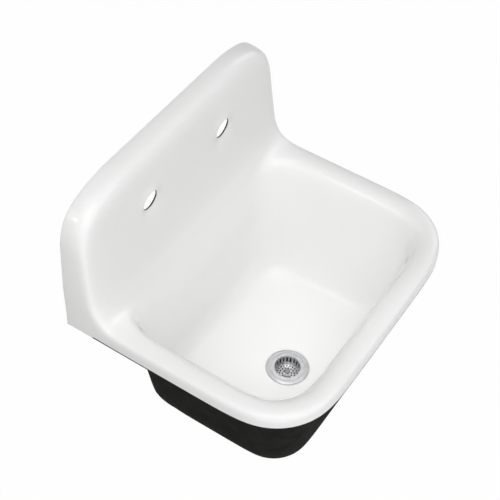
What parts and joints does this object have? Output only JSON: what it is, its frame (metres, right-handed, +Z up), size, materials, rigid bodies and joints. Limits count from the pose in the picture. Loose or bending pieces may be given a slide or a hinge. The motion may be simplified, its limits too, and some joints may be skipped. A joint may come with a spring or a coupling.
{
  "type": "wall-mounted sink",
  "caption": "Wall-hung cast-iron sink with a tall splash back, faucet holes, deep basin and rolled rim, drained by a lift-out basket strainer with a push-down stopper and a tailpiece.",
  "frame": {"origin": "on the wall plane, on the sink's centre line, level with the top of the rim", "axes": "+X to the right as one faces the wall, +Y into the wall, +Z up"},
  "size_m": [0.546, 0.44, 0.6497],
  "materials": {
    "enamelled_iron": "white porcelain enamel inside and on top, black outside",
    "hanger_steel": "dark primer",
    "strainer_steel": "polished stainless",
    "knob_chrome": "bright plate",
    "drain_brass": "plain",
    "black_rubber": "moulded",
    "seal_rubber": "soft sealing ring",
    "white_plastic": "slip ring",
    "drain_chrome": "bright plate"
  },
  "bodies": {
    "sink": {"coupling_nut": "drain_chrome", "flange_seal": "seal_rubber", "friction_ring": "white_plastic", "left_wall_hanger": "hanger_steel", "lock_nut": "drain_brass", "right_wall_hanger": "hanger_steel", "sink_casting": "enamelled_iron", "strainer_body": "strainer_steel", "tailpiece": "drain_chrome", "tailpiece_washer": "white_plastic", "under_gasket": "black_rubber"},
    "basket": {"basket_cup": "strainer_steel", "post_bushing": "strainer_steel"},
    "stopper": {"basket_post": "strainer_steel", "basket_knob": "knob_chrome", "stopper_disc": "black_rubber", "stopper_plate": "strainer_steel", "stopper_nut": "drain_brass"}
  },
  "joints": [
    {"name": "basket_lift", "type": "slide", "parent": "sink", "child": "basket", "axis": [0, 0, 1], "range_m": [0, 0.06]},
    {"name": "stopper_push", "type": "slide", "parent": "basket", "child": "stopper", "axis": [0, 0, -1], "range_m": [0, 0.006]}
  ]
}
